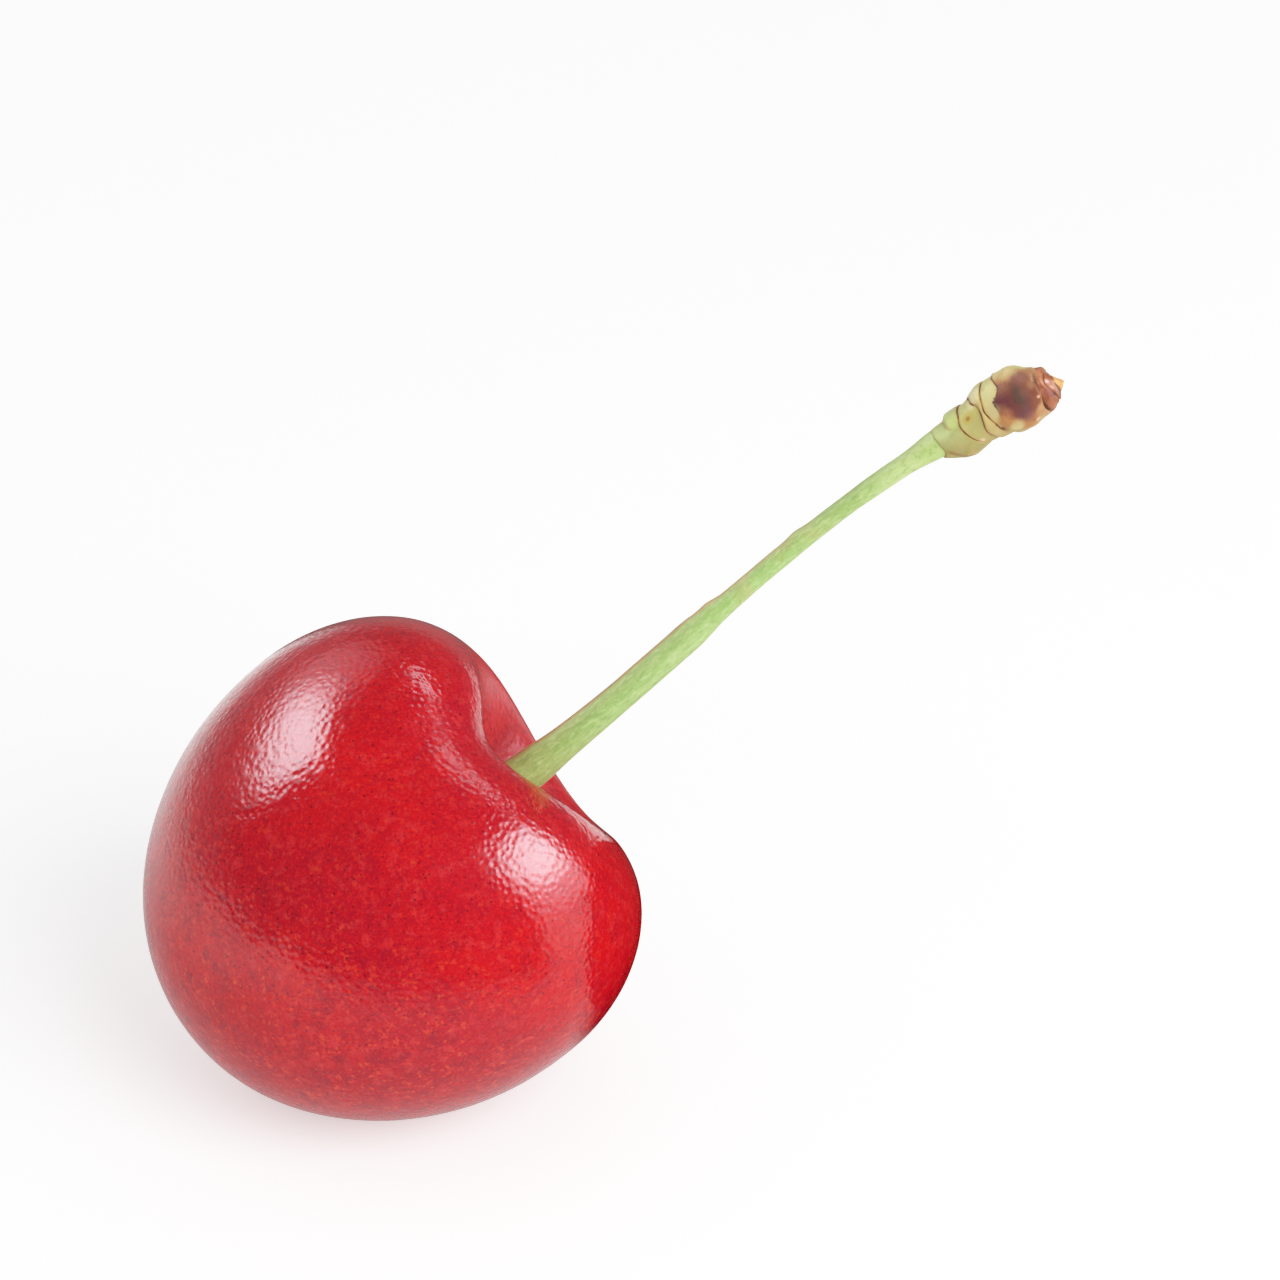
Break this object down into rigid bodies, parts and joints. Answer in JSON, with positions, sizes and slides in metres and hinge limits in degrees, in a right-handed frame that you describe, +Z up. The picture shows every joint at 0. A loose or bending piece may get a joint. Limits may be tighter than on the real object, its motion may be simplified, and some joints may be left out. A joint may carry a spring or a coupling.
{
  "type": "sweet cherry on its stalk",
  "caption": "Ripe red sweet cherry lying on its side, with a deep stalk cavity, a long curved green stalk and its ringed, torn scaly knob.",
  "frame": {"origin": "middle of the small flat spot that the fruit rests on, at the surface it lies on", "axes": "+Z up from the surface; +X the way the stalk leans out from the fruit; +Y completes the right-handed frame, away from the side with the seam"},
  "size_m": [0.0472, 0.0255, 0.0391],
  "materials": {
    "fruit_skin": "gloss",
    "green_stalk": "satin",
    "pale_scales": "satin",
    "brown_scales": "matte"
  },
  "bodies": {
    "root": {"fruit": "fruit_skin", "stalk": "green_stalk", "bud_scales": "pale_scales", "torn_tip": "brown_scales"}
  },
  "joints": []
}
